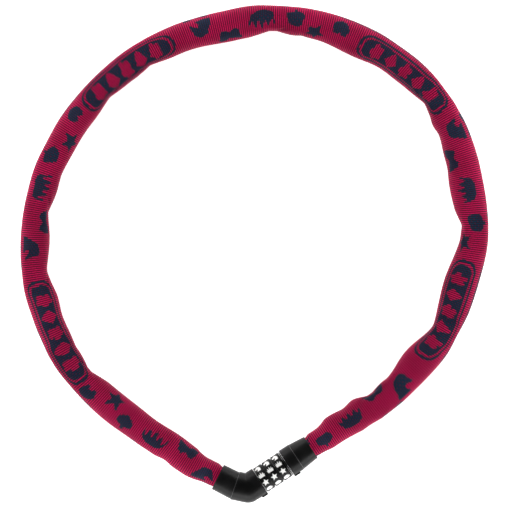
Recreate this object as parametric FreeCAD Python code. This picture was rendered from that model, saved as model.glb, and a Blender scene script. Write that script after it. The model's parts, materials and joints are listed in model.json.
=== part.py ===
import FreeCAD, Part

import math
import os

# Combination chain lock, closed into a ring that lies flat. Millimetres, +Z up, Z = 0 is where it lies.
# A square-link chain runs inside a textile sleeve. Both of its ends are held in a plastic lock body: an elbow
# that carries three dials on a slotted tube, and a plug whose locking pin slides into that tube.
#
# The lock body is drawn in its own frame, then placed in the ring: x along the dials' axis with 0 at the
# middle dial, y towards the inside of the ring, z up. The elbow is at negative x and the plug at positive x.

V = FreeCAD.Vector
UP = V(0, 0, 1)
tolerance = 1e-4  # two places nearer than this are the same
past = 1.0  # how far a cut reaches past the surface that it opens

# ---- Ring ----
axis_height = 7.85
lock_angle = 33.25  # the dials' axis, from +X
lock_centre = (9.78, -117.48)  # the middle dial, in the ring

pitch = 16.0  # from one link to the next
anchor_reach = 10.5  # from a collar's mouth to the first point where links touch
# The chain's course from the elbow to the plug, in sections that stay rigid. Each section is one or two
# bends: how many links lie along it, and the degrees it turns clockwise.
ring_sections = [
    [(1, 11.0), (2, -4.0)],
    [(5, 41.1)],
    [(5, 40.9)],
    [(5, 35.7)],
    [(6, 42.8)],
    [(5, 45.5)],
    [(5, 39.7)],
    [(5, 40.3)],
    [(2, 6.0), (1, 1.0)],
]

# ---- Chain ----
chain_offset = 0.7  # the taut chain lies this far outside the sleeve's axis, against the sleeve's outer side
bar = 3.8
bar_rounding = 0.8
link_inner_radius = 2.9
link_outer_radius = link_inner_radius + bar
link_half_straight = 5.7
link_roll = 45.0
link_slack = link_inner_radius + link_half_straight - pitch / 2

# ---- Sleeve ----
sleeve_radius = 7.85
sleeve_wall = 0.45
sleeve_joint_gap = 2.2  # left open at each bend of the chain, so that the sections clear each other
neck_radius = 5.8
neck_inside = 6.5  # how far the sleeve's end reaches into a collar
neck_flare = 6.0  # from a collar's mouth to the sleeve's full size

# ---- Lock body ----
body_radius = 7.85
edge_rounding = 0.35
elbow_face = -8.3
elbow_corner = -15.8
elbow_turn = 45.0  # between the dials' axis and the elbow's short arm
elbow_arm = 7.2  # from the corner to the seam with the left collar
collar_turn = 60.0  # between the dials' axis and the left collar
left_collar_length = 10.4
left_collar_radii = (7.55, 7.35)
mitre_overlap = 3.0  # how far the elbow and the left collar are drawn past the seam that cuts them
plug_face = 8.95
plug_end = 15.25
right_collar_length = 9.4
right_collar_radii = (7.7, 6.75)
ridge_length = 3.7
ridge_width = 1.8
ridge_height = 0.8
seat_clearance = 0.1

# ---- Anchors, pins and clamps ----
shank_radius = 3.4
shank_clearance = 0.05
anchor_hole_straight = 1.2
anchor_neck = 9.5  # from the touching point back to where the eye has narrowed to its shank
elbow_shank_depth = 4.5
plug_shank_depth = 2.5
pin_radius = 1.0
thin_pin_radius = 0.8  # the plug's two pins
pin_bottom = -7.4
pin_top = 6.0
elbow_pin_depth = 2.5
plug_anchor_pin_depth = 1.3
tube_pin_x = -12.3
plug_pin_x = 10.6
clamp_length = 5.0

# ---- Dials ----
dial_count = 3
dial_pitch = 5.5
dial_width = 5.0
dial_radius = 7.5
dial_rounding = 0.5
positions = 10
ring_radius = 6.1  # between a dial and the code ring pressed into it
recess_radius = 5.45
web_length = 2.2
tube_outer = 4.0
tube_inner = 3.15
tube_start = -14.2
tube_end = 8.75
slot_width = 2.3
running_clearance = 0.08
washer_thickness = 0.3
washer_radius = 6.8
retainer_thickness = 0.5
retainer_x = 8.2
retainer_radius = 7.25
notch_reach = 5.5

# ---- Locking pin ----
locking_pin_radius = 2.85
locking_pin_tip = -8.2
locking_pin_end = 12.2
locking_pin_chamfer = 0.6
lug_length = 2.0
lug_width = 1.6
lug_reach = 5.1
lug_inset = 0.4  # from a dial's face

# ---- Click spring ----
leaf_width = 1.6
leaf_thickness = 0.3
leaf_radius = 3.65  # where its outer face lies, in a flat on the tube
leaf_ends = (-9.6, 7.8)
bump_radius = 0.45
bump_reach = 4.3
bump_inset = 0.3  # from either side of a code ring's web
scallop_radius = 0.55


def rod(radius, x0, x1):
    """A cylinder along the x axis."""
    return Part.makeCylinder(radius, x1 - x0, V(x0, 0, 0), V(1, 0, 0))


def tube(outer, inner, x0, x1):
    """A pipe along the x axis."""
    return rod(outer, x0, x1).cut(rod(inner, x0, x1))


def taper(radius0, radius1, x0, x1):
    """A cone frustum along the x axis."""
    return Part.makeCone(radius0, radius1, x1 - x0, V(x0, 0, 0), V(1, 0, 0))


def block(x0, x1, y0, y1, z0, z1):
    """A box between two corners."""
    return Part.makeBox(x1 - x0, y1 - y0, z1 - z0, V(x0, y0, z0))


def upright_pin(x, radius, z0, z1):
    """A vertical round pin at x on the axis."""
    return Part.makeCylinder(radius, z1 - z0, V(x, 0, z0), UP)


def cross_drilled(body, x, radius, body_radius):
    """A round bar with an upright hole right through it at x."""
    reach = body_radius + past
    return body.cut(upright_pin(x, radius, -reach, reach))


def moved(shape, x, y, angle, z=0.0):
    """A copy turned about the vertical by angle degrees, then shifted."""
    copy = shape.copy()
    copy.Placement = FreeCAD.Placement(V(x, y, z), FreeCAD.Rotation(UP, angle)).multiply(copy.Placement)
    return copy


def rims_at(shape, x):
    """The full circles of a shape that lie at x."""
    circles = [edge for edge in shape.Edges if isinstance(edge.Curve, Part.Circle)]
    return [edge for edge in circles if abs(edge.Curve.Center.x - x) < tolerance]


def round_rims(shape, radius, places):
    """Rounds the full circles that lie at the x places."""
    return shape.makeFillet(radius, [edge for x in places for edge in rims_at(shape, x)])


# ---- Places in the ring ----


def in_ring(x, y):
    """A point of the lock's frame, in the ring."""
    a = math.radians(lock_angle)
    return (
        lock_centre[0] + x * math.cos(a) - y * math.sin(a),
        lock_centre[1] + x * math.sin(a) + y * math.cos(a),
    )


def put_lock(shape):
    """A shape of the lock's frame, in the ring."""
    return moved(shape, lock_centre[0], lock_centre[1], lock_angle, axis_height)


def seam_centre():
    """Where the elbow's short arm meets the left collar, in the lock's frame."""
    a = math.radians(elbow_turn)
    return elbow_corner - elbow_arm * math.cos(a), elbow_arm * math.sin(a)


def left_mouth():
    """The left collar's mouth, in the lock's frame."""
    x, y = seam_centre()
    a = math.radians(collar_turn)
    return x - left_collar_length * math.cos(a), y + left_collar_length * math.sin(a)


def put_left(shape):
    """A shape drawn with +x out of a collar's mouth, at the left collar's mouth in the ring."""
    x, y = in_ring(*left_mouth())
    return moved(shape, x, y, lock_angle + 180 - collar_turn, axis_height)


def put_right(shape):
    """The same at the right collar's mouth."""
    x, y = in_ring(plug_end + right_collar_length, 0)
    return moved(shape, x, y, lock_angle, axis_height)


def step_on(x, y, heading, length, turn):
    """The end of an arc that starts at x, y with a heading, and turns clockwise over its length."""
    half = math.radians(turn) / 2
    chord = length * math.sin(half) / half if half else length
    a = math.radians(heading) - half
    return x + chord * math.cos(a), y + chord * math.sin(a), heading - turn


def section_starts():
    """x, y and heading where each section starts, and last where the plug's straight reach starts."""
    x, y = in_ring(*left_mouth())
    place = step_on(x, y, lock_angle + 180 - collar_turn, anchor_reach, 0)
    starts = [place]
    for bends in ring_sections:
        for links, turn in bends:
            place = step_on(*place, links * pitch, turn)
        starts.append(place)
    return starts


def outwards(x, y, heading, distance):
    """A point of the chain's course, moved towards the outside of the ring."""
    a = math.radians(heading)
    return x - distance * math.sin(a), y + distance * math.cos(a)


def chain_bends():
    """The points that the chain bends about between its sections."""
    return [outwards(*start, chain_offset) for start in section_starts()[1:-1]]


# ---- Chain ----


def level_edges(shape):
    """The edges that lie level: a flat plate's outline, above and below."""
    return [edge for edge in shape.Edges if edge.BoundBox.ZLength < 1e-3]


def plate(outline, thickness):
    """A flat plate with this outline, level and centred on the axis's height."""
    solid = Part.Face(outline).extrude(V(0, 0, thickness))
    solid.translate(V(0, 0, -thickness / 2))
    return solid


def stadium(start, end, radius):
    """A closed outline with round ends about two points on the x axis."""
    left_top = V(start, radius, 0)
    left_bottom = V(start, -radius, 0)
    right_top = V(end, radius, 0)
    right_bottom = V(end, -radius, 0)
    edges = [
        Part.LineSegment(left_top, right_top).toShape(),
        Part.Arc(right_top, V(end + radius, 0, 0), right_bottom).toShape(),
        Part.LineSegment(right_bottom, left_bottom).toShape(),
        Part.Arc(left_bottom, V(start - radius, 0, 0), left_top).toShape(),
    ]
    return Part.Wire(edges)


def chain_link():
    """One welded link about the origin, long axis along x, lying flat."""
    outer = stadium(-link_half_straight, link_half_straight, link_outer_radius)
    inner = stadium(-link_half_straight, link_half_straight, link_inner_radius)
    solid = plate(outer, bar).cut(plate(inner, bar))
    return solid.makeFillet(bar_rounding, level_edges(solid))


def rolled(shape, angle):
    """A copy turned about the x axis."""
    copy = shape.copy()
    copy.rotate(V(0, 0, 0), V(1, 0, 0), angle)
    return copy


def chain_group(bends, start, links_before, offsets):
    """The links of one section, each along its chord of the bend and rolled the other way from the last.
    offsets are how far outwards the chain lies where the section starts and ends."""
    group = []
    place = start
    turns = [turn / links for links, turn in bends for _ in range(links)]
    for i, turn in enumerate(turns):
        after = step_on(*place, pitch, turn)
        heading = place[2] - turn / 2
        offset = offsets[0] + (offsets[1] - offsets[0]) * (i + 0.5) / len(turns)
        middle = outwards((place[0] + after[0]) / 2, (place[1] + after[1]) / 2, heading, offset)
        roll = -link_roll if (links_before + i) % 2 else link_roll
        group.append(moved(rolled(chain_link(), roll), *middle, heading, axis_height))
        place = after
    return Part.makeCompound(group)


# ---- Sleeve ----


def sleeve_bend(start, length, turn, cut_start, cut_end):
    """The sleeve along one bend: a curved pipe, cut short at either end."""
    degrees_per_mm = turn / length
    x, y, heading = step_on(*start, cut_start, cut_start * degrees_per_mm)
    swept = (length - cut_start - cut_end) * degrees_per_mm
    bend_radius = 1 / math.radians(degrees_per_mm)
    a = math.radians(heading)
    here = V(x, y, axis_height)
    along = V(math.cos(a), math.sin(a), 0)
    bend_centre = V(x + bend_radius * math.sin(a), y - bend_radius * math.cos(a), axis_height)
    outer = Part.Face(Part.Wire(Part.Circle(here, along, sleeve_radius).toShape()))
    inner = Part.Face(Part.Wire(Part.Circle(here, along, sleeve_radius - sleeve_wall).toShape()))
    return outer.cut(inner).revolve(bend_centre, UP, -swept)


def sleeve_section(bends, start, cut_start, cut_end):
    """A section's sleeve, with a gap left at its ends where cut_start and cut_end say."""
    pipes = []
    for i, (links, turn) in enumerate(bends):
        cut0 = cut_start if i == 0 else 0
        cut1 = cut_end if i == len(bends) - 1 else 0
        pipes.append(sleeve_bend(start, links * pitch, turn, cut0, cut1))
        start = step_on(*start, links * pitch, turn)
    return pipes


def sleeve_end():
    """The sleeve's straight end, with +x out of the collar's mouth: neck, flare and full size."""
    outside = rod(neck_radius, -neck_inside, 0)
    outside = outside.fuse(taper(neck_radius, sleeve_radius, 0, neck_flare))
    outside = outside.fuse(rod(sleeve_radius, neck_flare, anchor_reach))
    small = neck_radius - sleeve_wall
    large = sleeve_radius - sleeve_wall
    inside = rod(small, -neck_inside, 0)
    inside = inside.fuse(taper(small, large, 0, neck_flare))
    inside = inside.fuse(rod(large, neck_flare, anchor_reach))
    return outside.cut(inside)


# ---- Anchors and clamps, drawn with +x out of a collar's mouth ----


def anchor(shank_depth, roll):
    """The eye that holds the chain's end link, with the shank that goes into the lock body."""
    touch = anchor_reach
    tip_centre = touch + link_slack + bar - link_outer_radius
    neck_left = V(touch - anchor_neck, shank_radius, 0)
    neck_right = V(touch - anchor_neck, -shank_radius, 0)
    tip_left = V(tip_centre, link_outer_radius, 0)
    tip_right = V(tip_centre, -link_outer_radius, 0)
    outline = Part.Wire(
        [
            Part.LineSegment(neck_left, tip_left).toShape(),
            Part.Arc(tip_left, V(tip_centre + link_outer_radius, 0, 0), tip_right).toShape(),
            Part.LineSegment(tip_right, neck_right).toShape(),
            Part.LineSegment(neck_right, neck_left).toShape(),
        ]
    )
    hole = stadium(tip_centre - anchor_hole_straight, tip_centre, link_inner_radius)
    eye = plate(outline, bar).cut(plate(hole, bar))
    eye = rolled(eye.makeFillet(bar_rounding, level_edges(eye)), roll)
    shank = rod(shank_radius, -shank_depth, touch - anchor_neck + bar)
    keep = rod(link_outer_radius, -shank_depth, touch - anchor_neck).fuse(eye)
    return shank.common(keep).fuse(eye).removeSplitter()


def sleeve_clamp():
    """The ring that wedges the sleeve's end against the collar."""
    inner = shank_radius + shank_clearance
    return tube(neck_radius - sleeve_wall, inner, -neck_inside, -neck_inside + clamp_length)


def collar_bores(length):
    """What is cut out of a collar: the sleeve's seat and the shank's bore."""
    seat = rod(neck_radius + seat_clearance, -neck_inside - seat_clearance, past)
    shank = rod(shank_radius + shank_clearance, -length - mitre_overlap, past)
    return seat.fuse(shank)


# ---- Lock body ----


def index_ridge(x0, x1):
    """The raised mark on the outside of the ring, beside the dials."""
    root = -body_radius + ridge_height  # deep enough to join the round body
    ridge = block(x0, x1, -body_radius - ridge_height, root, -ridge_width / 2, ridge_width / 2)
    outer_edges = [e for e in ridge.Edges if e.BoundBox.YMax < -body_radius]
    return ridge.makeFillet(ridge_height / 2, outer_edges)


def past_seam():
    """Half of space, as a large block: the collar's side of the mitred seam, in the lock's frame."""
    x, y = seam_centre()
    size = 40
    half = block(0, size, -size / 2, size / 2, -size / 2, size / 2)
    return moved(half, x, y, 180 - (elbow_turn + collar_turn) / 2)


def elbow_housing(left_cavity):
    """The elbow: a long arm by the dials, a ball-round corner and a short arm up to the seam."""
    long_arm = round_rims(rod(body_radius, elbow_corner, elbow_face), edge_rounding, [elbow_face])
    corner = Part.makeSphere(body_radius, V(elbow_corner, 0, 0))
    short_arm = moved(rod(body_radius, 0, elbow_arm + mitre_overlap), elbow_corner, 0, 180 - elbow_turn)
    body = long_arm.fuse([corner, short_arm, index_ridge(elbow_face - ridge_length, elbow_face)])
    body = body.cut(past_seam())
    body = body.cut(rod(tube_outer + shank_clearance, tube_start - seat_clearance, elbow_face + past))
    body = body.cut(upright_pin(tube_pin_x, pin_radius, -body_radius - past, pin_top))
    return body.cut(left_cavity).removeSplitter()


def left_collar(bores):
    """The left collar, mitred where it meets the elbow; bores are already in the lock's frame."""
    body = taper(*left_collar_radii, -left_collar_length - mitre_overlap, 0)
    body = round_rims(body, edge_rounding, [0])
    x, y = left_mouth()
    body = moved(body, x, y, 180 - collar_turn)
    return body.common(past_seam()).cut(bores)


def right_collar():
    """The right collar, with +x out of its mouth."""
    body = taper(right_collar_radii[0], right_collar_radii[1], -right_collar_length, 0)
    body = round_rims(body, edge_rounding, [0])
    return body.cut(collar_bores(right_collar_length))


def plug_housing():
    """The half that pulls out, with its index ridge and the bores for both of its shanks."""
    body = round_rims(rod(body_radius, plug_face, plug_end), edge_rounding, [plug_face, plug_end])
    body = body.fuse(index_ridge(plug_face, plug_face + ridge_length))
    body = body.cut(rod(locking_pin_radius + shank_clearance, plug_face - past, locking_pin_end))
    body = body.cut(rod(shank_radius + shank_clearance, plug_end - plug_shank_depth, plug_end + past))
    for x in (plug_pin_x, plug_end - plug_anchor_pin_depth):
        body = body.cut(upright_pin(x, thin_pin_radius, -body_radius - past, pin_top))
    return body


# ---- Dials and what they turn on ----


def radial_block(x0, x1, width, reach):
    """A block from the axis outwards to -y: what a lug passes through."""
    return block(x0, x1, -reach, 0, -width / 2, width / 2)


def slotted_tube():
    """The fixed tube: the dials turn on it, the locking pin slides in it and its lugs run in the slot."""
    body = tube(tube_outer, tube_inner, tube_start, tube_end)
    reach = tube_outer + past
    body = body.cut(radial_block(-dial_count * dial_pitch / 2, tube_end + past, slot_width, reach))
    pocket = block(*leaf_ends, leaf_radius - leaf_thickness, reach, -leaf_width / 2, leaf_width / 2)
    body = body.cut(pocket)
    return cross_drilled(body, tube_pin_x, pin_radius, tube_outer)


def dial_start(number):
    """The x at which a dial's share of the axis starts; the first dial is number 0."""
    return (number - dial_count / 2) * dial_pitch


def dial(number):
    """The symbol ring that the fingers turn."""
    x0 = dial_start(number) + (dial_pitch - dial_width) / 2
    body = round_rims(rod(dial_radius, x0, x0 + dial_width), dial_rounding, [x0, x0 + dial_width])
    return body.cut(rod(ring_radius, x0 - past, x0 + dial_width + past))


def code_ring(number):
    """The ring inside a dial: a web with the gate that a lug passes, and a recess where the lug then sits."""
    x0 = dial_start(number) + (dial_pitch - dial_width) / 2
    x1 = x0 + dial_width
    bore = tube_outer + running_clearance
    body = tube(ring_radius, recess_radius, x0, x1 - web_length)
    body = body.fuse(tube(ring_radius, bore, x1 - web_length, x1))
    body = body.cut(radial_block(x0, x1 + past, slot_width, recess_radius))
    for position in range(positions):
        scallop = rod(scallop_radius, x0 - past, x1 + past).translated(V(0, bore, 0))
        body = body.cut(rolled(scallop, position * 360 / positions))
    return body.removeSplitter()


def washer(x, thickness, radius):
    """A thin ring fixed on the tube, notched so that the lugs pass."""
    body = tube(radius, tube_outer, x, x + thickness)
    return body.cut(radial_block(x - past, x + thickness + past, slot_width, notch_reach))


def dial_washers():
    """The washers between neighbouring dials."""
    return Part.makeCompound(
        [
            washer(dial_start(number) - washer_thickness / 2, washer_thickness, washer_radius)
            for number in range(1, dial_count)
        ]
    )


def locking_pin():
    """The pin that the dials hold, with one lug for each dial."""
    body = rod(locking_pin_radius, locking_pin_tip, locking_pin_end)
    body = body.makeChamfer(locking_pin_chamfer, rims_at(body, locking_pin_tip))
    for number in range(dial_count):
        x0 = dial_start(number) + (dial_pitch - dial_width) / 2 + lug_inset
        body = body.fuse(radial_block(x0, x0 + lug_length, lug_width, lug_reach))
    return cross_drilled(body, plug_pin_x, thin_pin_radius, locking_pin_radius).removeSplitter()


def click_spring():
    """A leaf in the tube's flat, with a bump that clicks into each code ring's scallops."""
    inner = leaf_radius - leaf_thickness
    body = block(leaf_ends[0], leaf_ends[1], inner, leaf_radius, -leaf_width / 2, leaf_width / 2)
    for number in range(dial_count):
        web_end = dial_start(number) + (dial_pitch + dial_width) / 2
        bump = rod(bump_radius, web_end - web_length + bump_inset, web_end - bump_inset)
        body = body.fuse(bump.translated(V(0, bump_reach - bump_radius, 0)))
    return body.removeSplitter()


# ---- Every node ----


def build():
    """Every node's name and its shape, in the ring."""
    nodes = {}

    mouth_x, mouth_y = left_mouth()
    left_bores = moved(collar_bores(left_collar_length), mouth_x, mouth_y, 180 - collar_turn)
    left_shank_depth = left_collar_length + elbow_shank_depth
    left_pin_x = -left_collar_length - elbow_pin_depth
    left_hole = upright_pin(left_pin_x, pin_radius, -body_radius - past, pin_top)
    left_cavity = rod(shank_radius + shank_clearance, -left_shank_depth, 0).fuse(left_hole)
    left_cavity = moved(left_cavity, mouth_x, mouth_y, 180 - collar_turn)
    left_anchor = cross_drilled(anchor(left_shank_depth, -link_roll), left_pin_x, pin_radius, shank_radius)

    nodes["elbow_housing"] = put_lock(elbow_housing(left_cavity))
    nodes["left_collar"] = put_lock(left_collar(left_bores))
    nodes["left_anchor"] = put_left(left_anchor)
    nodes["left_anchor_pin"] = put_left(upright_pin(left_pin_x, pin_radius, pin_bottom, pin_top))
    nodes["left_sleeve_clamp"] = put_left(sleeve_clamp())
    nodes["slotted_tube"] = put_lock(slotted_tube())
    nodes["tube_pin"] = put_lock(upright_pin(tube_pin_x, pin_radius, pin_bottom, pin_top))
    nodes["dial_washers"] = put_lock(dial_washers())
    nodes["dial_retainer"] = put_lock(washer(retainer_x, retainer_thickness, retainer_radius))
    nodes["click_spring"] = put_lock(click_spring())
    for number in range(dial_count):
        nodes[f"dial_{number + 1}"] = put_lock(dial(number))
        nodes[f"code_ring_{number + 1}"] = put_lock(code_ring(number))

    right_shank_depth = right_collar_length + plug_shank_depth
    right_pin_x = -right_collar_length - plug_anchor_pin_depth
    right_anchor = anchor(right_shank_depth, -link_roll)
    right_anchor = cross_drilled(right_anchor, right_pin_x, thin_pin_radius, shank_radius)
    nodes["plug_housing"] = put_lock(plug_housing())
    nodes["locking_pin"] = put_lock(locking_pin())
    nodes["plug_pin"] = put_lock(upright_pin(plug_pin_x, thin_pin_radius, pin_bottom, pin_top))
    nodes["right_collar"] = put_right(right_collar())
    nodes["right_anchor"] = put_right(right_anchor)
    nodes["right_anchor_pin"] = put_right(upright_pin(right_pin_x, thin_pin_radius, pin_bottom, pin_top))
    nodes["right_sleeve_clamp"] = put_right(sleeve_clamp())

    starts = section_starts()
    last = len(ring_sections) - 1
    links_before = 0
    for i, bends in enumerate(ring_sections):
        offsets = (0 if i == 0 else chain_offset, 0 if i == last else chain_offset)
        nodes[f"chain_links_{i}"] = chain_group(bends, starts[i], links_before, offsets)
        links_before += sum(links for links, turn in bends)
        cut_start = 0 if i == 0 else sleeve_joint_gap / 2
        cut_end = 0 if i == last else sleeve_joint_gap / 2
        pipes = sleeve_section(bends, starts[i], cut_start, cut_end)
        if i == 0:
            pipes.append(put_left(sleeve_end()))
        if i == last:
            x, y, heading = step_on(*starts[-1], anchor_reach, 0)
            pipes.append(moved(sleeve_end(), x, y, heading + 180, axis_height))
        nodes[f"sleeve_{i}"] = pipes[0].fuse(pipes[1:]) if len(pipes) > 1 else pipes[0]
    return nodes


def main():
    os.makedirs("parts", exist_ok=True)
    nodes = build()
    low = [1e9] * 3
    high = [-1e9] * 3
    for name, shape in nodes.items():
        shape.exportStep(f"parts/{name}.step")
        box = shape.optimalBoundingBox()
        low = [min(a, b) for a, b in zip(low, (box.XMin, box.YMin, box.ZMin))]
        high = [max(a, b) for a, b in zip(high, (box.XMax, box.YMax, box.ZMax))]
        solids = len(shape.Solids)
        print(f"{name:20s} valid {shape.isValid()} solids {solids:2d} volume {shape.Volume:9.1f}")
    print("box", [round(v, 2) for v in low], [round(v, 2) for v in high])

    x, y, heading = section_starts()[-1]
    x, y, heading = step_on(x, y, heading, anchor_reach, 0)
    mouth = in_ring(plug_end + right_collar_length, 0)
    print("ring closes within", round(math.hypot(x - mouth[0], y - mouth[1]), 3), "mm")
    print("heading closes within", round((heading - lock_angle - 180) % 360, 3), "degrees")


if __name__ == "__main__":
    main()
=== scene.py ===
import json
import math

import bmesh
import bpy
import numpy as np
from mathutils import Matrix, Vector


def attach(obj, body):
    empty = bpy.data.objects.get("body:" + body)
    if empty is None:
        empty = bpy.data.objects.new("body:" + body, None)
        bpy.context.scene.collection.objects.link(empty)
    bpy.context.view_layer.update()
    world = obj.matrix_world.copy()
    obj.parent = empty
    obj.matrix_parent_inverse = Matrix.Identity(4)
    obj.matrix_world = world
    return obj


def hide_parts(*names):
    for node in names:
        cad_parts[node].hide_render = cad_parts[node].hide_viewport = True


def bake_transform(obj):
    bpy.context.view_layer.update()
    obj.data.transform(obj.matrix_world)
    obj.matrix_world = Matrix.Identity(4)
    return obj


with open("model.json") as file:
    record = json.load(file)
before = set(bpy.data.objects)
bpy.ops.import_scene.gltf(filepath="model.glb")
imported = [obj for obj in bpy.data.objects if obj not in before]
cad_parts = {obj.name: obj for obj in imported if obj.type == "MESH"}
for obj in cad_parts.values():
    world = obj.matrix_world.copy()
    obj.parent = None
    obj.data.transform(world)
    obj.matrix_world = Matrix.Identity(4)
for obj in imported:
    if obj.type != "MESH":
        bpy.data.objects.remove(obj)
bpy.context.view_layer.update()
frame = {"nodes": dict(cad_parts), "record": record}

# A chain lock lying closed: a textile sleeve over a chain, with a black plastic lock body and three symbol
# dials. Drawn in millimetres and turned into metres where a mesh is made. The ring's course is the one of the
# CAD model.
MM = 0.001
tiny = 1e-6  # a place this little short of a valley between two threads counts to the next thread

# ---- Camera ----
camera_height = 3.0  # in metres
camera_lens = 391.5
camera_sensor = 36.0
camera_middle = (0.27, -0.27)  # the point that it looks straight down on

# ---- Light and floor, in metres ----
wall_light = 0.28
ceiling_light = 0.03
ceiling_fade = (0.10, 0.72)  # heights in the room, from horizon 0 to zenith 1, where wall turns into ceiling
overhead_place = (-0.15, 0.2, 1.3)
overhead_size = 1.4
overhead_power = 7.6
side_lamps = 8
side_distance = 0.36
side_height = 0.09
side_size = (0.26, 0.10)
side_power = 0.42
floor_size = 14
floor_glow = 0.8

# ---- Ring and lock body, as in the CAD model ----
axis_height = 7.85
lock_angle = 33.25
lock_centre = (9.78, -117.48)
elbow_corner = -15.8
elbow_turn = 45.0
elbow_arm = 7.2
collar_turn = 60.0
left_collar_length = 10.4
body_radius = 7.85
plug_end = 15.25
dial_pitch = 5.5
dial_radius = 7.5
positions = 10
pitch = 16.0
anchor_reach = 10.5
ring_sections = [
    [(1, 11.0), (2, -4.0)],
    [(5, 41.1)],
    [(5, 40.9)],
    [(5, 35.7)],
    [(6, 42.8)],
    [(5, 45.5)],
    [(5, 39.7)],
    [(5, 40.3)],
    [(2, 6.0), (1, 1.0)],
]

# ---- Sleeve ----
neck_radius = 5.8
neck_inside = 6.3  # how far the cloth reaches into either collar
cloth_radius = 7.85  # of the cloth laid out round
cloth_wall = 0.22
cloth_outer = 8.2  # from the course to the edge outside the ring
cloth_inner = 7.75  # and inside the ring
chain_clear = (7.2, 5.66)  # least reach of the cloth round the chain, outside and inside the ring
half_heights = (7.68, 7.88)  # least, where the cloth spreads, and greatest
roundness = 2.7  # exponent of the superellipse that the section follows
pinched_roundness = 4.0
pinch_gain = 2.0  # how soon the section of a pinch becomes that of its middle
rib = 1.12  # from one crosswise rib to the next
steps_per_rib = 4
around = 96
rib_height = 0.16
cells_around = 56
bend_reach = 12.0  # how far either side of a hinge make_sleeve takes a point of the course
height_offset = -0.15  # of half the sleeve's height from cloth_radius
height_for_width = 0.25  # how much of what the sleeve lacks in half its width it gains in half its height
link_wave = 0.06  # how much the links show through
lying_gap = 0.1  # from the floor to the lowest cloth
lowest = 0.02
wobble = 0.10
wobble_lengths = (6.1, 17.0)
free_span = 12.0  # from a collar's mouth to where the cloth has its full height
# How far the cloth reaches at most near a collar: at the mouth, and then steps, each as how much more it
# reaches, how far from the mouth that starts, and over what length
left_outer_limit = (6.1, [(1.3, 4, 12), (1.6, 27, 10)])
right_outer_limit = (6.1, [(0.9, 3, 8), (1.7, 15, 24)])
left_inner_limit = (6.85, [(5, 8, 24)])
right_inner_limit = (6.9, [(5, 7, 18)])
# And at least: at the mouth, round the anchors, and then chain_clear. A span is the distance from the mouth
# at which such a change starts, and its length.
mouth_clear = 5.95
mouth_span = (-1, 4)  # from neck_radius
anchor_clear = 6.8
anchor_span = (5, 8)
chain_span = (14, 40)

# ---- Creases that run from the pinches ----
crease_from = 1.5  # shallower pinches have no creases
crease_depth = 0.32  # of the depth of its pinch
# depth of a crease groove at which its painted shade is full
deepest_crease = 0.7
crease_along = 0.64  # a crease's direction, along the sleeve
crease_round = 0.77  # and round it
other_crease = 0.55  # size of the crease on a pinch's other side
least_crease_length = 5.0
more_crease_length = 13.0
crease_fade = 1.3
crease_start = (3.2, 3.5)  # from the inside line of the sleeve, over a length
groove_width = 1.1
fold_height = 0.6  # of the fold that stands beside the groove
fold_offset = 2.4
fold_width = 1.6

# ---- Pinches and bulges of the sleeve ----
# Where the cloth folds in on the ring's inside: place along the sleeve, depth, half length, and which way its
# crease leans
pinches = [
    (92, 2.4, 13, 1),
    (107, 0.9, 10, -1),
    (154, 2.2, 15, -1),
    (187, 2.1, 13, 1),
    (210, 0.7, 14, 1),
    (262, 2.0, 15, 1),
    (277, 0.9, 12, -1),
    (291, 1.9, 13, -1),
    (364, 2.5, 13, 1),
    (380, 0.7, 6, 1),
    (463, 1.9, 12, -1),
    (537, 2.0, 9, 1),
    (546, 0.6, 7, -1),
    (597, 1.0, 11, -1),
    (638, 0.9, 11, 1),
    (650, 2.2, 10, 1),
]
# Where it hangs slack on the inside: place, how much further it reaches, half length
swells = [
    (26, 1.1, 22),
    (68, 1.3, 26),
    (137, 0.7, 12),
    (338, 1.6, 28),
    (412, 2.7, 26),
    (438, 1.0, 16),
    (477, 0.7, 7),
    (493, 1.3, 13),
    (516, 3.6, 30),
    (571, 3.5, 29),
    (618, 2.6, 20),
    (660, 1.3, 9),
    (676, 1.1, 12),
]
# And where its outside edge stands further out or in
outer_swells = [
    (28, -0.95, 8),
    (60, 0.45, 40),
    (106, 0.6, 16),
    (142, 0.6, 14),
    (186, -0.35, 22),
    (222, -0.25, 14),
    (282, 0.3, 14),
    (324, -0.25, 14),
    (352, 0.5, 16),
    (432, -0.5, 14),
    (464, -0.4, 12),
    (595, -0.7, 14),
    (616, 0.75, 22),
    (646, 0.75, 18),
]
slack_share = 0.24  # of what the cloth hangs further inside, so much less stands outside
dip_bluntness = 0.9
dip_power = 1.5


def smooth(t):
    """A smooth step from 0 to 1."""
    t = np.clip(t, 0, 1)
    return t * t * (3 - 2 * t)


def swell(s, centre, half_length):
    """1 at the centre, falling smoothly to 0 at half_length either side."""
    return 0.5 + 0.5 * np.cos(np.pi * np.clip((s - centre) / half_length, -1, 1))


def dip(s, centre, half_length):
    """1 at the centre, falling steeply at first and then gently to 0 at half_length either side."""
    far = np.sqrt((s - centre) ** 2 + dip_bluntness**2) - dip_bluntness
    return np.clip(1 - far / half_length, 0, 1) ** dip_power


# ---- Course of the ring ----


def step_on(x, y, heading, length, turn):
    """The end of an arc that starts at x, y with a heading, and turns clockwise over its length."""
    half = np.radians(turn) / 2
    chord = length * np.sinc(half / np.pi)
    a = np.radians(heading) - half
    return x + chord * np.cos(a), y + chord * np.sin(a), heading - turn


def in_ring(x, y):
    """A point of the lock's frame, in the ring."""
    a = math.radians(lock_angle)
    return (
        lock_centre[0] + x * math.cos(a) - y * math.sin(a),
        lock_centre[1] + x * math.sin(a) + y * math.cos(a),
    )


def seam_centre():
    """Where the elbow's short arm meets the left collar, in the lock's frame."""
    a = math.radians(elbow_turn)
    return elbow_corner - elbow_arm * math.cos(a), elbow_arm * math.sin(a)


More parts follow.
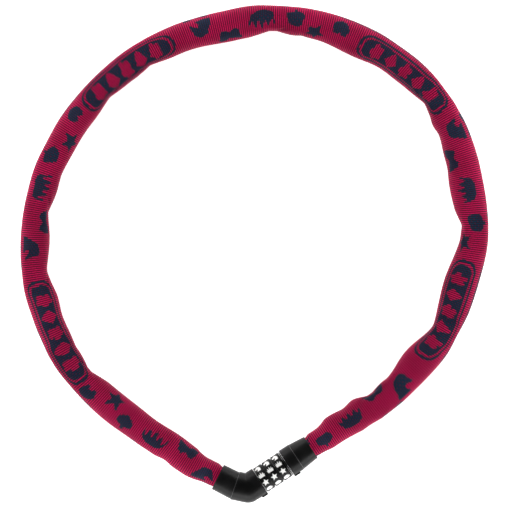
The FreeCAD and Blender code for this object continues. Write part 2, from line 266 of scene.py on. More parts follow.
def course_runs():
    """The arcs of the course, each as distance, x, y and heading at its start, then its length and turn."""
    x, y = seam_centre()
    a = math.radians(collar_turn)
    mouth = in_ring(x - left_collar_length * math.cos(a), y + left_collar_length * math.sin(a))
    bends = [(anchor_reach, 0.0)]
    for section in ring_sections:
        bends += [(links * pitch, turn) for links, turn in section]
    bends.append((anchor_reach, 0.0))
    runs = []
    distance = 0.0
    place = (*mouth, lock_angle + 180 - collar_turn)
    for length, turn in bends:
        runs.append((distance, *place, length, turn))
        distance += length
        place = step_on(*place, length, turn)
    return runs


runs = course_runs()
sleeve_length = runs[-1][0] + anchor_reach


def course(s):
    """x, y and heading at distances s along the course. It runs straight on past both ends."""
    s = np.asarray(s, float)
    x, y, heading = (np.zeros_like(s) for _ in range(3))
    for i, (start, x0, y0, heading0, length, turn) in enumerate(runs):
        here = np.ones_like(s, bool) if i == 0 else s >= start
        far = s[here] - start
        x[here], y[here], heading[here] = step_on(x0, y0, heading0, far, turn * far / length)
    return x, y, heading


def section_ends():
    """Distances along the course at which its sections start, and last where the final one ends."""
    ends = [anchor_reach]
    for section in ring_sections:
        ends.append(ends[-1] + sum(links for links, _ in section) * pitch)
    return ends


# ---- Camera, floor and light ----


def make_camera():
    data = bpy.data.cameras.new("camera")
    data.sensor_width = camera_sensor
    data.lens = camera_lens
    camera = bpy.data.objects.new("camera", data)
    camera.location = (camera_middle[0] * MM, camera_middle[1] * MM, camera_height)
    bpy.context.scene.collection.objects.link(camera)
    bpy.context.scene.camera = camera


def area_lamp(name, place, width, height, power):
    """A rectangular lamp that shines on the middle of the ring."""
    data = bpy.data.lights.new(name, "AREA")
    data.shape = "RECTANGLE"
    data.size = width
    data.size_y = height
    data.energy = power
    lamp = bpy.data.objects.new(name, data)
    lamp.location = place
    lamp.rotation_mode = "QUATERNION"
    lamp.rotation_quaternion = (-Vector(place)).to_track_quat("-Z", "Y")
    lamp.visible_camera = False
    bpy.context.scene.collection.objects.link(lamp)
    return lamp


def make_light():
    """A room with white walls and a dark ceiling, a broad lamp overhead, and low lamps round the lock."""
    world = bpy.data.worlds.new("studio")
    world.use_nodes = True
    nodes, links = world.node_tree.nodes, world.node_tree.links
    parts = nodes.new("ShaderNodeSeparateXYZ")
    links.new(nodes.new("ShaderNodeTexCoord").outputs["Generated"], parts.inputs[0])
    fade = nodes.new("ShaderNodeMapRange")
    fade.interpolation_type = "SMOOTHSTEP"
    for socket, value in zip(fade.inputs[1:5], (*ceiling_fade, wall_light, ceiling_light)):
        socket.default_value = value
    links.new(parts.outputs[2], fade.inputs[0])
    links.new(fade.outputs[0], nodes["Background"].inputs["Strength"])
    nodes["Background"].inputs["Color"].default_value = (1.0, 1.0, 1.0, 1.0)
    bpy.context.scene.world = world
    bpy.context.scene.view_settings.view_transform = "Standard"
    overhead = area_lamp("overhead", overhead_place, overhead_size, overhead_size, overhead_power)
    overhead.visible_glossy = False
    for i in range(side_lamps):
        a = 2 * math.pi * i / side_lamps
        place = (side_distance * math.cos(a), side_distance * math.sin(a), side_height)
        area_lamp(f"side_{i}", place, *side_size, side_power)


# ---- Node helpers ----

noise_roughness = 0.55


class Nodes:
    """Builds one material's node tree, a call for each node."""

    def __init__(self, name):
        self.material = bpy.data.materials.new(name)
        self.material.use_nodes = True
        self.tree = self.material.node_tree
        self.shader = self.tree.nodes["Principled BSDF"]

    def node(self, kind, **settings):
        node = self.tree.nodes.new(kind)
        for key, value in settings.items():
            setattr(node, key, value)
        return node

    def plug(self, source, socket):
        """Links a node's output to a socket, or sets the socket to a value."""
        if isinstance(source, bpy.types.NodeSocket):
            self.tree.links.new(source, socket)
        else:
            socket.default_value = source

    def maths(self, operation, first, second=0.0):
        node = self.node("ShaderNodeMath", operation=operation)
        for socket, value in zip(node.inputs, (first, second)):
            self.plug(value, socket)
        return node.outputs[0]

    def ramp(self, value, low, high, to_low=0.0, to_high=1.0):
        """Value from low..high to to_low..to_high along a smooth step."""
        node = self.node("ShaderNodeMapRange", interpolation_type="SMOOTHSTEP")
        for socket, v in zip(node.inputs, (value, low, high, to_low, to_high)):
            self.plug(v, socket)
        return node.outputs[0]

    def mix(self, share, first, second):
        node = self.node("ShaderNodeMix", data_type="RGBA")
        self.plug(share, node.inputs["Factor"])
        self.plug(first, node.inputs["A"])
        self.plug(second, node.inputs["B"])
        return node.outputs["Result"]

    def place(self):
        """Position on the object, in metres."""
        return self.node("ShaderNodeTexCoord").outputs["Object"]

    def noise(self, vector, scale, detail=3.0):
        node = self.node("ShaderNodeTexNoise")
        self.plug(vector, node.inputs["Vector"])
        node.inputs["Scale"].default_value = scale
        node.inputs["Detail"].default_value = detail
        node.inputs["Roughness"].default_value = noise_roughness
        return node.outputs["Fac"]

    def bump(self, height, distance, strength=1.0):
        node = self.node("ShaderNodeBump")
        node.inputs["Distance"].default_value = distance
        node.inputs["Strength"].default_value = strength
        self.plug(height, node.inputs["Height"])
        self.plug(node.outputs["Normal"], self.shader.inputs["Normal"])

    def set(self, **values):
        """Sets the shader's own sockets: Base_Color=... for the socket called Base Color."""
        for key, value in values.items():
            self.plug(value, self.shader.inputs[key.replace("_", " ")])


def rgb(red, green, blue):
    return (red, green, blue, 1.0)


# ---- Materials ----


def floor_material():
    n = Nodes("floor_paper")
    tone = n.noise(n.place(), 9.0)
    n.set(Base_Color=n.mix(tone, rgb(0.93, 0.93, 0.93), rgb(0.97, 0.97, 0.97)))
    n.set(Roughness=0.9, Emission_Strength=floor_glow)
    n.shader.inputs["Emission Color"].default_value = rgb(1.0, 1.0, 1.0)
    n.bump(n.noise(n.place(), 900.0), 0.00005)
    return n.material


crimson = (rgb(0.46, 0.002, 0.058), rgb(0.60, 0.004, 0.082))
# Painted shade: darker crimson in the gaps between stitches and in the grooves between ribs
crimson_gap_shade = rgb(0.17, 0.003, 0.035)
crimson_groove_shade = rgb(0.045, 0.002, 0.018)
# Painted shade: darker, greyer crimson and navy in the crease grooves
crimson_crease_shade = rgb(0.27, 0.022, 0.070)
navy = (rgb(0.001, 0.019, 0.044), rgb(0.004, 0.031, 0.062))
# Between the navy stitches the crimson ground shows, darkened as painted shade; the navy rib grooves get
# painted shade too
navy_gap_ground_and_shade = rgb(0.075, 0.004, 0.032)
navy_groove_shade = rgb(0.018, 0.003, 0.012)
navy_crease_shade = rgb(0.050, 0.040, 0.060)


def cloth_material():
    """Crimson textile with crosswise ribs of staggered stitches, dark blue pictures woven in, and painted
    shade in the rib grooves, stitch gaps and creases.
    """
    n = Nodes("woven_sleeve")
    weave = n.node("ShaderNodeUVMap", uv_map="weave").outputs["UV"]
    parts = n.node("ShaderNodeSeparateXYZ")
    n.plug(weave, parts.inputs[0])
    along, across = parts.outputs[0], parts.outputs[1]
    from_crest = n.maths("ABSOLUTE", n.maths("SUBTRACT", n.maths("FRACT", along), 0.5))
    # groove and gap mark the rib valleys and stitch gaps, where the colour is darkened as painted shade
    groove = n.ramp(from_crest, 0.10, 0.38)
    staggered = n.maths("ADD", across, n.maths("MULTIPLY", n.maths("FLOOR", along), 0.5))
    from_stitch = n.maths("ABSOLUTE", n.maths("SUBTRACT", n.maths("FRACT", staggered), 0.5))
    gap = n.ramp(from_stitch, 0.34, 0.5)

    picture = n.node("ShaderNodeAttribute", attribute_name="picture").outputs["Fac"]
    is_picture = n.ramp(picture, 0.42, 0.58)
    # Painted shade in the crease grooves, read from the sleeve's attribute
    painted_crease_shade = n.node("ShaderNodeAttribute", attribute_name="painted_crease_shade").outputs["Fac"]
    place = n.place()
    patches = n.noise(place, 55.0, 4.0)
    yarn = n.noise(place, 2600.0, 2.0)
    tone = n.ramp(patches, 0.3, 0.7)
    red = n.mix(tone, crimson[0], crimson[1])
    red = n.mix(n.maths("MULTIPLY", painted_crease_shade, 0.7), red, crimson_crease_shade)
    red = n.mix(n.maths("MULTIPLY", gap, 0.5), red, crimson_gap_shade)
    red = n.mix(n.maths("MULTIPLY", groove, 0.96), red, crimson_groove_shade)
    blue = n.mix(tone, navy[0], navy[1])
    blue = n.mix(n.maths("MULTIPLY", gap, 0.75), blue, navy_gap_ground_and_shade)
    blue = n.mix(n.maths("MULTIPLY", groove, 0.7), blue, navy_groove_shade)
    blue = n.mix(n.maths("MULTIPLY", painted_crease_shade, 0.5), blue, navy_crease_shade)
    n.set(Base_Color=n.mix(is_picture, red, blue), Roughness=n.ramp(yarn, 0.3, 0.7, 0.66, 0.86))
    n.set(Specular_IOR_Level=0.12, Sheen_Weight=0.07, Sheen_Roughness=0.4)
    n.shader.inputs["Sheen Tint"].default_value = rgb(1.0, 0.80, 0.86)
    relief = n.maths("SUBTRACT", n.maths("MULTIPLY", yarn, 0.35), n.maths("MULTIPLY", gap, 0.9))
    relief = n.maths("ADD", relief, n.maths("MULTIPLY", is_picture, 0.25))
    n.bump(relief, 0.00011)
    return n.material


def plastic_material(name, dark, pale, roughness):
    """Moulded black plastic: fine grain, faint mottling, and edges rubbed paler."""
    n = Nodes(name)
    place = n.place()
    mottle = n.noise(place, 140.0, 4.0)
    grain = n.noise(place, 5200.0, 2.0)
    bevel = n.node("ShaderNodeBevel", samples=4)
    bevel.inputs["Radius"].default_value = 0.0005
    turned = n.node("ShaderNodeVectorMath", operation="DOT_PRODUCT")
    n.plug(bevel.outputs["Normal"], turned.inputs[0])
    n.plug(n.node("ShaderNodeNewGeometry").outputs["Normal"], turned.inputs[1])
    edge = n.ramp(turned.outputs["Value"], 0.995, 0.90)
    wear = n.maths("MULTIPLY", edge, n.ramp(n.noise(place, 700.0, 3.0), 0.35, 0.65, 0.25, 1.0))
    colour = n.mix(n.ramp(mottle, 0.3, 0.7), dark, pale)
    colour = n.mix(n.maths("MULTIPLY", wear, 0.5), colour, rgb(0.05, 0.05, 0.052))
    n.set(Base_Color=colour)
    n.set(Roughness=n.ramp(mottle, 0.25, 0.75, roughness - 0.05, roughness + 0.07))
    n.set(Specular_IOR_Level=0.2)
    n.bump(grain, 0.000018, 0.7)
    return n.material


def print_material():
    """White pad print with small worn spots."""
    n = Nodes("symbol_print")
    place = n.place()
    worn = n.ramp(n.noise(place, 1900.0, 3.0), 0.62, 0.74)
    tone = n.mix(n.noise(place, 420.0), rgb(0.80, 0.80, 0.78), rgb(0.93, 0.93, 0.91))
    n.set(Base_Color=n.mix(n.maths("MULTIPLY", worn, 0.6), tone, rgb(0.35, 0.35, 0.34)), Roughness=0.5)
    n.bump(n.noise(place, 3600.0), 0.00001)
    return n.material


def seam_highlight_material():
    """Painted highlight: a pale hairline where two mouldings meet, standing in for the light that the joint's
    edge catches.
    """
    n = Nodes("seam_highlight_edge")
    tone = n.noise(n.place(), 800.0)
    n.set(Base_Color=n.mix(tone, rgb(0.03, 0.03, 0.03), rgb(0.10, 0.10, 0.105)), Roughness=0.45)
    n.bump(n.noise(n.place(), 4200.0), 0.00001)
    return n.material


def metal_material(name, dark, pale, roughness, line_scale):
    """Drawn or turned metal: fine lines, stains and uneven gloss."""
    n = Nodes(name)
    stretched = n.node("ShaderNodeMapping")
    n.plug(n.place(), stretched.inputs["Vector"])
    stretched.inputs["Scale"].default_value = (1.0, 1.0, line_scale)
    lines = n.noise(stretched.outputs["Vector"], 900.0, 4.0)
    stains = n.noise(n.place(), 120.0, 5.0)
    n.set(Base_Color=n.mix(n.ramp(stains, 0.3, 0.75), dark, pale), Metallic=1.0)
    n.set(Roughness=n.ramp(lines, 0.2, 0.8, roughness - 0.08, roughness + 0.12))
    n.bump(lines, 0.000012, 0.6)
    return n.material


def make_floor():
    bpy.ops.mesh.primitive_plane_add(size=floor_size, location=(0, 0, 0))
    floor = bpy.context.active_object
    floor.name = "floor"
    floor.data.materials.append(floor_material())


body_black = (rgb(0.0026, 0.0026, 0.0026), rgb(0.0045, 0.0045, 0.0046))
dial_black = (rgb(0.0022, 0.0022, 0.0022), rgb(0.0038, 0.0038, 0.0038))
zinc = (rgb(0.42, 0.43, 0.45), rgb(0.62, 0.62, 0.60))
bright_steel = (rgb(0.50, 0.50, 0.51), rgb(0.66, 0.66, 0.67))
yellow_brass = (rgb(0.62, 0.44, 0.18), rgb(0.80, 0.62, 0.31))
materials = {
    "sleeve_textile": cloth_material(),
    "body_plastic": plastic_material("body_plastic", *body_black, roughness=0.40),
    "dial_plastic": plastic_material("dial_plastic", *dial_black, roughness=0.33),
    "hardened_steel": metal_material("zinc_plated_steel", *zinc, roughness=0.34, line_scale=1.0),
    "steel": metal_material("turned_steel", *bright_steel, roughness=0.28, line_scale=6.0),
    "brass": metal_material("turned_brass", *yellow_brass, roughness=0.30, line_scale=6.0),
}


def dress_cad_nodes():
    """Gives every CAD node the material of its slot."""
    for part in frame["record"]["subparts"]:
        node = frame["nodes"][part["node"]]
        for slot in node.material_slots:
            slot.material = materials[part["material_slot"]]


# ---- Outlines of the pictures and symbols, about one unit wide and high ----


def round_outline(width, height, count, radius):
    """A closed outline of count points. Its reach from its middle is radius(angle) of width and height."""
    angles = [2 * math.pi * i / count for i in range(count)]
    return [(width * radius(a) * math.cos(a), height * radius(a) * math.sin(a)) for a in angles]


def star():
    tips = range(10)
    reach = [0.54 if i % 2 == 0 else 0.26 for i in tips]
    return [(reach[i] * math.sin(math.pi * i / 5), reach[i] * math.cos(math.pi * i / 5)) for i in tips]


def heart():
    angles = [2 * math.pi * i / 28 for i in range(28)]
    lobes = [13 * math.cos(a) - 5 * math.cos(2 * a) - 2 * math.cos(3 * a) - math.cos(4 * a) for a in angles]
    return [(0.5 * math.sin(a) ** 3, (y + 2.5) / 32) for a, y in zip(angles, lobes)]


def moon():
    angles = [math.pi * (0.28 + 1.44 * i / 14) for i in range(15)]
    outside = [(0.12 + 0.5 * math.cos(a), 0.5 * math.sin(a)) for a in angles]
    inside_edge = [(0.30 + 0.42 * math.cos(a), 0.42 * math.sin(a)) for a in reversed(angles[1:-1])]
    return outside + inside_edge


def crown():
    """Five points on a bowed band."""
    middle_point = [(0.0, 0.5), (0.09, -0.02)]
    side_points = [(0.15, -0.02), (0.24, 0.34), (0.33, -0.04), (0.39, -0.06), (0.5, 0.24)]
    bowed_edge = [(0.5, 0.0), (0.38, -0.36), (0.18, -0.5)]
    half = middle_point + side_points + bowed_edge
    return half + [(-x, y) for x, y in reversed(half[1:])]


def apple():
    """A broad fruit with a stalk."""
    angles = [math.radians(98 + 344 * i / 27) for i in range(28)]
    fruit = [(0.5 * math.cos(a), 0.39 * math.sin(a) - 0.11) for a in angles]
    return fruit + [(0.1, 0.6), (-0.06, 0.6)]


outlines = {
    "star": star(),
    "heart": heart(),
    "moon": moon(),
    "crown": crown(),
    "tall_crown": [
        (0.0, 0.5), (0.13, 0.0), (0.34, 0.36), (0.34, -0.08), (0.5, 0.08), (0.4, -0.46), (-0.4, -0.46),
        (-0.5, 0.08), (-0.34, -0.08), (-0.34, 0.36), (-0.13, 0.0),
    ],
    "plump_heart": [
        (0.5, 0.16), (0.4, 0.42), (0.18, 0.48), (0.0, 0.34), (-0.18, 0.48), (-0.4, 0.42), (-0.5, 0.16),
        (-0.44, -0.12), (-0.27, -0.35), (0.0, -0.5), (0.27, -0.35), (0.44, -0.12),
    ],
    "apple": apple(),
    "cloud": round_outline(0.46, 0.36, 40, lambda a: 0.92 + 0.14 * abs(math.cos(2.5 * a))),
    "flower": round_outline(0.5, 0.5, 40, lambda a: 0.62 + 0.38 * abs(math.cos(2.5 * a))),
    "horse": [
        (-0.16, -0.5), (0.38, -0.5), (0.44, -0.12), (0.33, 0.2), (0.12, 0.4), (0.02, 0.52), (-0.05, 0.38),
        (-0.22, 0.26), (-0.44, 0.02), (-0.42, -0.12), (-0.28, -0.18), (-0.12, -0.06), (0.0, -0.1),
        (-0.05, -0.26),
    ],
    "diamond": [(0.5, 0.0), (0.0, 0.5), (-0.5, 0.0), (0.0, -0.5)],
    "fish": [
        (-0.5, 0.0), (-0.3, 0.2), (-0.02, 0.27), (0.22, 0.12), (0.5, 0.28), (0.42, 0.0), (0.5, -0.28),
        (0.22, -0.12), (-0.02, -0.27), (-0.3, -0.2),
    ],
    "leaf": [
        (-0.5, -0.3), (-0.34, 0.08), (0.0, 0.32), (0.5, 0.4), (0.4, 0.02), (0.12, -0.28), (-0.24, -0.36),
    ],
    "pony": [
        (0.49, -0.14), (0.38, -0.17), (0.26, -0.01), (0.1, 0.04), (0.06, -0.17), (0.16, -0.31), (0.19, -0.47),
        (-0.5, -0.5), (-0.5, -0.27), (-0.41, 0.04), (-0.24, 0.34), (0.0, 0.48), (0.22, 0.46), (0.36, 0.29),
        (0.44, 0.04),
    ],
    "boot": [
        (0.5, 0.45), (0.46, -0.1), (0.36, -0.45), (0.19, -0.42), (0.04, -0.3), (-0.15, -0.5), (-0.34, -0.42),
        (-0.4, -0.1), (-0.5, 0.35), (-0.37, 0.38), (-0.12, 0.24), (0.06, 0.2), (0.22, 0.45), (0.42, 0.5),
    ],
}


def inside(outline, x, y):
    """Which of the points x, y lie inside a closed outline."""
    found = np.zeros(x.shape, bool)
    for (x0, y0), (x1, y1) in zip(outline, outline[1:] + outline[:1]):
        if y0 != y1:
            found ^= ((y0 > y) != (y1 > y)) & (x < (x1 - x0) * (y - y0) / (y1 - y0) + x0)
    return found


# ---- Pictures on the sleeve ----

band_length = 60.0
band_width = 12.6
band_period = 161.0
band_end_stretch = 1.25  # the ends are half ellipses
frame_line_width = 1.25
core_inset = 2.2
band_figures = ("flower", "diamond", "flower", "diamond", "flower")
figure_step = 9.4
figure_length = 7.4
figure_width = 7.0
band_angle = 99.0
pattern_twist = 60.0  # millimetres along the sleeve for each degree that the pictures turn round it
twist_from = 300.0  # place along the sleeve where their angles are as given
threads_per_rib = 2
# After a band's start: place along the sleeve, angle round it from outside the ring over the top, how far it
# is turned from upright, width and height
pictures = {
    "pony": (76, 77, 0, 12.4, 8.2),
    "boot": (91, 126, 0, 13.6, 7.8),
    "crown": (109, 93, 0, 14.4, 7.4),
    "apple": (127, 76, 180, 9.8, 6.2),
    "star": (138, 116, 4, 11.4, 8.6),
    "plump_heart": (152, 73, 0, 9.2, 6.6),
}
# Three rows of pictures lie round the sleeve: how far each is turned from the one on top, and for each of its
# bands where it starts and how far the pictures after it are shifted
rows = [
    (0.0, [(-68.5, 0), (89.25, 1.5), (249, 0), (412.5, -4), (556.25, 1.5)]),
    (-118.0, [(-89.5, 0), (71.5, 0), (232.5, 0), (393.5, 0), (554.5, 0)]),
    (-232.0, [(-120.0, 0), (41.0, 0), (202.0, 0), (363.0, 0), (524.0, 0)]),
]


def band_mask(x, y):
    """The long framed band: a frame line, and a dark core with paler figures left out of it."""
    straight = band_length - band_end_stretch * band_width
    beyond = np.maximum(np.abs(x) - straight / 2, 0) / band_end_stretch
    from_edge = band_width / 2 - np.hypot(beyond, y)
    frame_line = (from_edge > 0) & (from_edge < frame_line_width)
    core = from_edge > core_inset
    for i, kind in enumerate(band_figures):
        from_figure = x - (i - (len(band_figures) - 1) / 2) * figure_step
        core &= ~inside(outlines[kind], from_figure / figure_length, y / figure_width)
    return frame_line | core


def picture_mask(s, angle):
    """Where the pictures are woven, for places s along the sleeve and angles round it in degrees."""
    found = np.zeros(s.shape, bool)

    def local(place, at_angle, tilt=0):
        """A picture's own coordinates about its middle: untilted, its y points to the inside of the ring."""
        x = place - s
        turn = angle - at_angle - (s - twist_from) / pattern_twist
        y = np.radians((turn + 180) % 360 - 180) * cloth_radius
        a = math.radians(tilt)
        return x * math.cos(a) + y * math.sin(a), y * math.cos(a) - x * math.sin(a)

    for row_turn, starts in rows:
        for i, (start, shift) in enumerate(starts):
            found |= band_mask(*local(start + band_length / 2, band_angle + row_turn))
            next_start = starts[i + 1][0] if i + 1 < len(starts) else start + band_period
            for kind, (place, at_angle, tilt, width, height) in pictures.items():
                place += start + shift
                if place + width / 2 < next_start:
                    x, y = local(place, at_angle + row_turn, tilt)
                    found |= inside(outlines[kind], x / width, y / height)
    return found


# ---- Sleeve ----


def step_over(distance, span):
    """A smooth step from 0 to 1 that starts at a distance and takes a length."""
    start, length = span
    return smooth((distance - start) / length)


def collar_limit(distance, limit):
    """The most that the cloth may reach at a distance from a collar's mouth."""
    at_mouth, steps = limit
    return at_mouth + sum(rise * step_over(distance, (start, length)) for rise, start, length in steps)


def sleeve_reach(s):
    """How far the cloth reaches from the course, outside and inside the ring."""
    outer = np.full_like(s, cloth_outer)
    inner = np.full_like(s, cloth_inner)
    for place, extra, half_length in outer_swells:
        outer += extra * swell(s, place, half_length)
    for place, extra, half_length in swells:
        inner += extra * swell(s, place, half_length)
        outer -= slack_share * extra * swell(s, place, half_length)
    for place, depth, half_length, _ in pinches:
        inner -= depth * dip(s, place, half_length)
    from_right = sleeve_length - s
    from_collar = np.minimum(s, from_right)
    outer = np.minimum(outer, collar_limit(s, left_outer_limit))
    outer = np.minimum(outer, collar_limit(from_right, right_outer_limit))
    inner = np.minimum(inner, collar_limit(s, left_inner_limit))
    inner = np.minimum(inner, collar_limit(from_right, right_inner_limit))
    over_anchor = mouth_clear + (anchor_clear - mouth_clear) * step_over(from_collar, anchor_span)
    over_chain = step_over(from_collar, chain_span)
    outer = np.maximum(outer, over_anchor + (chain_clear[0] - anchor_clear) * over_chain)
    inner = np.maximum(inner, over_anchor + (chain_clear[1] - anchor_clear) * over_chain)
    out_of_collar = step_over(from_collar, mouth_span)
    outer = neck_radius + (outer - neck_radius) * out_of_collar
    inner = neck_radius + (inner - neck_radius) * out_of_collar
    return outer, inner


def crease_relief(s, angle):
    """The folds that run from each pinch over and under the sleeve, as a height."""
    relief = np.zeros(s.shape)
    from_inside = np.radians(np.abs((angle + 360) % 360 - 180)) * cloth_radius
    for place, depth, _, lean in pinches:
        if depth < crease_from:
            continue
        for direction, share in ((lean, 1.0), (-lean, other_crease)):
            along = (s - place) * direction
            length = least_crease_length + more_crease_length * share
            run = (along * crease_along + from_inside * crease_round) / length
            off = along * crease_round - from_inside * crease_along
            fade = smooth(crease_fade * (1.0 - run)) * step_over(from_inside, crease_start)
            groove = np.exp(-((off / groove_width) ** 2))
            fold = fold_height * np.exp(-(((off - fold_offset) / fold_width) ** 2))
            relief += share * crease_depth * depth * fade * (fold - groove)
    return relief


def sleeve_points(s, angle, inwards=0.0):
    """Points of the cloth in the ring, in millimetres, for places s (rows) and angles round it (columns)."""
    outer, inner = sleeve_reach(s)
    half_width = (outer + inner) / 2
    middle = (outer - inner) / 2
    free = smooth(np.minimum(s, sleeve_length - s) / free_span)
    half_height = cloth_radius + height_offset + height_for_width * (cloth_radius - half_width)
    half_height = np.clip(half_height, *half_heights)
    half_height += link_wave * np.cos(2 * np.pi * (s - anchor_reach) / pitch)
    half_height = neck_radius + (half_height - neck_radius) * free
    height = axis_height + (half_height + lying_gap - axis_height) * free
    x, y, heading = course(s)
    heading = np.radians(heading)

    s_grid, angle_grid = np.meshgrid(s, angle, indexing="ij")
    a = np.radians(angle_grid)
    cosine, sine = np.cos(a), np.sin(a)
    pinched = sum(dip(s, place, half_length) for place, _, half_length, _ in pinches)
    exponent = 2 / (roundness + (pinched_roundness - roundness) * smooth(pinch_gain * pinched))[:, None]
    side = np.sign(cosine) * np.abs(cosine) ** exponent
    rise = np.sign(sine) * np.abs(sine) ** exponent
    wave = 0.5 - 0.5 * np.cos(2 * np.pi * s_grid / rib)
    lift = rib_height * wave + crease_relief(s_grid, angle_grid) * free[:, None]
    short, long = wobble_lengths
    lift += wobble * np.sin(s_grid / short + 2 * a) * np.sin(s_grid / long - a) * free[:, None]
    lift -= inwards + rib_height
    out = middle[:, None] + half_width[:, None] * side + lift * cosine
    z = height[:, None] + half_height[:, None] * rise + lift * sine
    left = np.stack([-np.sin(heading), np.cos(heading)], axis=-1)
    points = np.empty((*s_grid.shape, 3))
    points[..., 0] = x[:, None] + out * left[:, 0:1]
    points[..., 1] = y[:, None] + out * left[:, 1:2]
    points[..., 2] = np.maximum(z, lowest)
    return points


def ring_quads(rings, first, inside_out):
    """Faces of a tube of so many vertex rings, numbered from first."""
    row, column = np.meshgrid(np.arange(rings - 1), np.arange(around), indexing="ij")
    after = (column + 1) % around
    here = first + row * around
    beyond = here + around
    corners = [here + column, here + after, beyond + after, beyond + column]
    quads = np.stack(corners, axis=-1).reshape(-1, 4)
    return quads[:, ::-1] if inside_out else quads


def rim_quads(skin_row, lining_row, flip):
    """Faces from a ring of the skin to a ring of the lining, each given by the number of its first vertex."""
    column = np.arange(around)
    after = (column + 1) % around
    rim = np.stack([skin_row + column, skin_row + after, lining_row + after, lining_row + column], axis=-1)
    return rim[:, ::-1] if flip else rim


def cloth_shell(s, s_lining, angle):
    """Vertices, in metres, and faces of a length of cloth: a skin and a lining, joined at both ends."""
    skin = sleeve_points(s, angle)
    lining = sleeve_points(s_lining, angle, cloth_wall)
    lining_first = len(s) * around
    verts = np.concatenate([skin.reshape(-1, 3), lining.reshape(-1, 3)]) * MM
    last_rings = (lining_first - around, lining_first + (len(s_lining) - 1) * around)
    quads = [
        ring_quads(len(s), 0, True),
        ring_quads(len(s_lining), lining_first, False),
        rim_quads(0, lining_first, False),
        rim_quads(*last_rings, True),
    ]
    return verts, np.concatenate(quads)


def add_weave(mesh, s, s_lining):
    """UVs that count the ribs along the sleeve and the stitches round it."""
    column = np.arange(around)
    place = np.concatenate([np.repeat(s, around), np.repeat(s_lining, around)])
    columns = np.concatenate([np.tile(column, len(s)), np.tile(column, len(s_lining))])
    loops = np.empty(len(mesh.loops), np.int64)
    mesh.loops.foreach_get("vertex_index", loops)
    corner_columns = columns[loops].reshape(-1, 4)
    wraps = (corner_columns.max(axis=1) - corner_columns.min(axis=1)) > 1
    corner_columns = np.where(wraps[:, None] & (corner_columns == 0), around, corner_columns).reshape(-1)
    weave = np.stack([place[loops] / rib, corner_columns * cells_around / around], axis=-1)
    layer = mesh.uv_layers.new(name="weave")
    layer.data.foreach_set("uv", weave.astype(np.float32).ravel())


def add_skin_values(mesh, name, values):
    """A value at each vertex of the skin, and 0 on the lining."""
    values = values.astype(np.float32).ravel()
    values = np.concatenate([values, np.zeros(len(mesh.vertices) - len(values), np.float32)])
    mesh.attributes.new(name, "FLOAT", "POINT").data.foreach_set("value", values)


def sleeve_piece(number, first_rib, last_rib):
    """One length of the cloth, from one valley between ribs to another, as a closed shell."""
    ribs = last_rib - first_rib
    s = (first_rib + np.arange(ribs * steps_per_rib + 1) / steps_per_rib) * rib
    s_lining = s[::steps_per_rib]
    angle = np.arange(around) * 360 / around
    verts, quads = cloth_shell(s, s_lining, angle)
    mesh = bpy.data.meshes.new(f"sleeve_cloth_{number}")
    mesh.from_pydata(verts.tolist(), [], quads.tolist())
    mesh.polygons.foreach_set("use_smooth", np.ones(len(quads), bool))
    add_weave(mesh, s, s_lining)

    thread = rib / threads_per_rib
    thread_number = np.minimum(np.floor(s / thread + tiny), threads_per_rib * last_rib - 1)
    thread_middle = (thread_number + 0.5) * thread
    add_skin_values(mesh, "picture", picture_mask(*np.meshgrid(thread_middle, angle, indexing="ij")))
    relief = crease_relief(*np.meshgrid(s, angle, indexing="ij")).astype(np.float32)
    # Painted shade: how deep a crease groove lies, so that the cloth's colour darkens there
    add_skin_values(mesh, "painted_crease_shade", np.clip(-relief / deepest_crease, 0, 1))

    mesh.materials.append(materials["sleeve_textile"])
    piece = bpy.data.objects.new(f"sleeve_cloth_{number}", mesh)
    bpy.context.scene.collection.objects.link(piece)
    return piece


def course_point(s):
    """A point of the course in metres."""
    x, y, _ = course([s])
    return (x[0] * MM, y[0] * MM, axis_height * MM)


def make_sleeve():
    """Eight lengths of cloth, each over one hinge of the chain, cut in the middle of a section."""
    ends = section_ends()
    bodies = ["lock_body"] + [f"chain_{i}" for i in range(1, len(ring_sections) - 1)] + ["plug"]
    middles = [(a + b) / 2 for a, b in zip(ends[1:-2], ends[2:-1])]
    cuts = [-neck_inside] + middles + [sleeve_length + neck_inside]
    cuts = [round(cut / rib) for cut in cuts]
    for i in range(len(bodies) - 1):
        piece = sleeve_piece(i + 1, cuts[i], cuts[i + 1])
        start = course_point(ends[i + 1] - bend_reach)
        end = course_point(ends[i + 1] + bend_reach)
        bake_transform(piece)
        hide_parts(f"sleeve_{i}", f"sleeve_{i + 1}")


# ---- Dial symbols, and seam beads with a painted highlight ----

symbol_size = 3.8
symbol_shift = -0.35
symbol_lift = 0.03
symbol_sink = 0.08
first_symbol_angle = 54.5  # of the first symbol, from straight up towards the inside of the ring
strip_width = 0.35  # of the strips that a symbol is cut into, to be wrapped round a dial
strip_cuts = 6  # either side of a symbol's middle
usual_stretch = 0.95  # of a symbol's size round the dial
symbol_stretch = {"star": 1.0, "tall_crown": 0.85, "horse": 1.0, "cloud": 1.0}
elbow_bead = 0.10
elbow_bead_depth = 0.06  # of the bead's middle below the body's surface
plug_bead = 0.11
plug_bead_radius = 7.66
bead_steps = 96
bead_sides = 6
symbol_order = ["horse", "tall_crown", "star", "cloud", "leaf", "heart", "moon", "fish", "flower", "apple"]


def lock_to_ring(x, y, z):
    """A point of the lock's frame, in the ring, in metres."""
    ring_x, ring_y = in_ring(x, y)
    return (ring_x * MM, ring_y * MM, (z + axis_height) * MM)


def add_piece(name, mesh_data, body, material):
    mesh = bpy.data.meshes.new(name)
    mesh_data.to_mesh(mesh)
    mesh_data.free()
    mesh.materials.append(material)
    piece = bpy.data.objects.new(name, mesh)
    bpy.context.scene.collection.objects.link(piece)
    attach(piece, body)


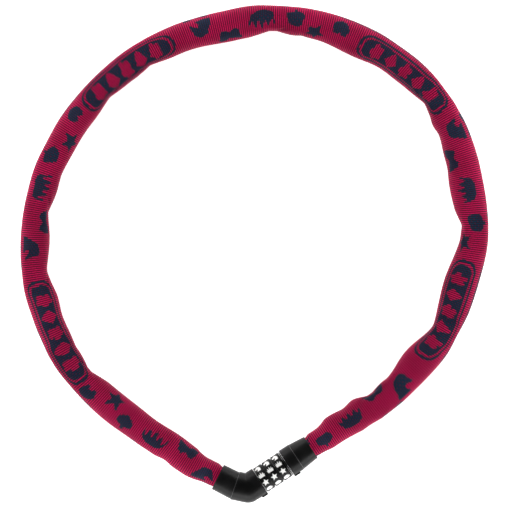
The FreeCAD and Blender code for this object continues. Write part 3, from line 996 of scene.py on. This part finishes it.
def flat_symbol(bm, outline, width, height):
    """A flat face in the x-y plane, cut into strips so that it can be wrapped round a dial."""
    face = bm.faces.new([bm.verts.new((x * width, y * height, 0)) for x, y in outline])
    geom = [face, *face.edges, *face.verts]
    for i in range(-strip_cuts, strip_cuts + 1):
        cut = bmesh.ops.bisect_plane(bm, geom=geom, plane_co=(0, i * strip_width, 0), plane_no=(0, 1, 0))
        geom = cut["geom"]
    return [item for item in geom if isinstance(item, bmesh.types.BMVert)]


def thicken(bm):
    """Makes wrapped symbols into closed solids that reach symbol_sink down, towards the dials' axis."""
    bmesh.ops.triangulate(bm, faces=bm.faces)
    bmesh.ops.recalc_face_normals(bm, faces=bm.faces)
    for face in bm.faces:
        outwards = face.calc_center_median()
        outwards.x = 0
        if face.normal.dot(outwards) < 0:
            face.normal_flip()
    top = list(bm.faces)
    grown = bmesh.ops.extrude_face_region(bm, geom=top)
    lifted = [item for item in grown["geom"] if isinstance(item, bmesh.types.BMVert)]
    sunk = set(bm.verts) - set(lifted)
    for v in sunk:
        reach = math.hypot(v.co.y, v.co.z)
        scale = (reach - symbol_sink) / reach
        v.co = (v.co.x, v.co.y * scale, v.co.z * scale)
    bmesh.ops.recalc_face_normals(bm, faces=bm.faces)


def dial_symbols(number, material):
    """The ten printed symbols round one dial, wrapped on its surface."""
    bm = bmesh.new()
    middle = (number - 2) * dial_pitch + symbol_shift
    for i, kind in enumerate(symbol_order):
        stretch = symbol_stretch.get(kind, usual_stretch)
        verts = flat_symbol(bm, outlines[kind], symbol_size, symbol_size * stretch)
        angle = math.radians(first_symbol_angle - i * 360 / positions)
        for v in verts:
            turned = angle + v.co.y / dial_radius
            reach = dial_radius + symbol_lift
            v.co = (middle + v.co.x, reach * math.sin(turned), reach * math.cos(turned))
    thicken(bm)
    for v in bm.verts:
        v.co = lock_to_ring(*v.co)
    body = ("first_dial", "second_dial", "third_dial")[number - 1]
    add_piece(f"dial_{number}_symbols", bm, body, material)


def seam_bead(name, body, centre, across, side_radius, top_radius, bead, material):
    """A hairline bead round the lock body, which carries the seam's painted highlight: centre and direction
    across it in the lock's frame.
    """
    bm = bmesh.new()
    a = math.radians(across)
    rings = []
    for i in range(bead_steps):
        t = 2 * math.pi * i / bead_steps
        ring = []
        for j in range(bead_sides):
            b = 2 * math.pi * j / bead_sides
            side = (side_radius + bead * math.cos(b)) * math.cos(t)
            top = (top_radius + bead * math.cos(b)) * math.sin(t)
            along = bead * math.sin(b)
            x = centre[0] - side * math.sin(a) + along * math.cos(a)
            y = centre[1] + side * math.cos(a) + along * math.sin(a)
            ring.append(bm.verts.new(lock_to_ring(x, y, max(top, -axis_height))))
        rings.append(ring)
    for ring, next_ring in zip(rings, rings[1:] + rings[:1]):
        for j in range(bead_sides):
            after = (j + 1) % bead_sides
            face = bm.faces.new([ring[j], ring[after], next_ring[after], next_ring[j]])
            face.smooth = True
    bmesh.ops.recalc_face_normals(bm, faces=bm.faces)
    add_piece(name, bm, body, material)


def make_lock_details():
    symbol_print = print_material()
    for number in (1, 2, 3):
        dial_symbols(number, symbol_print)
    # The seam beads are pale as a painted highlight, where the joints' edges would catch the light
    pale = seam_highlight_material()
    mitre = (elbow_turn + collar_turn) / 2
    lean = math.cos(math.radians(mitre - elbow_turn))
    side = body_radius / lean - elbow_bead_depth
    top = body_radius - elbow_bead_depth
    seam_bead("elbow_seam_highlight", "lock_body", seam_centre(), 180 - mitre, side, top, elbow_bead, pale)
    seam_bead("plug_seam_highlight", "plug", (plug_end, 0), 0, plug_bead_radius, plug_bead_radius, plug_bead, pale)


# ---- Making the scene ----

make_camera()
make_light()
make_floor()
dress_cad_nodes()
make_sleeve()
make_lock_details()
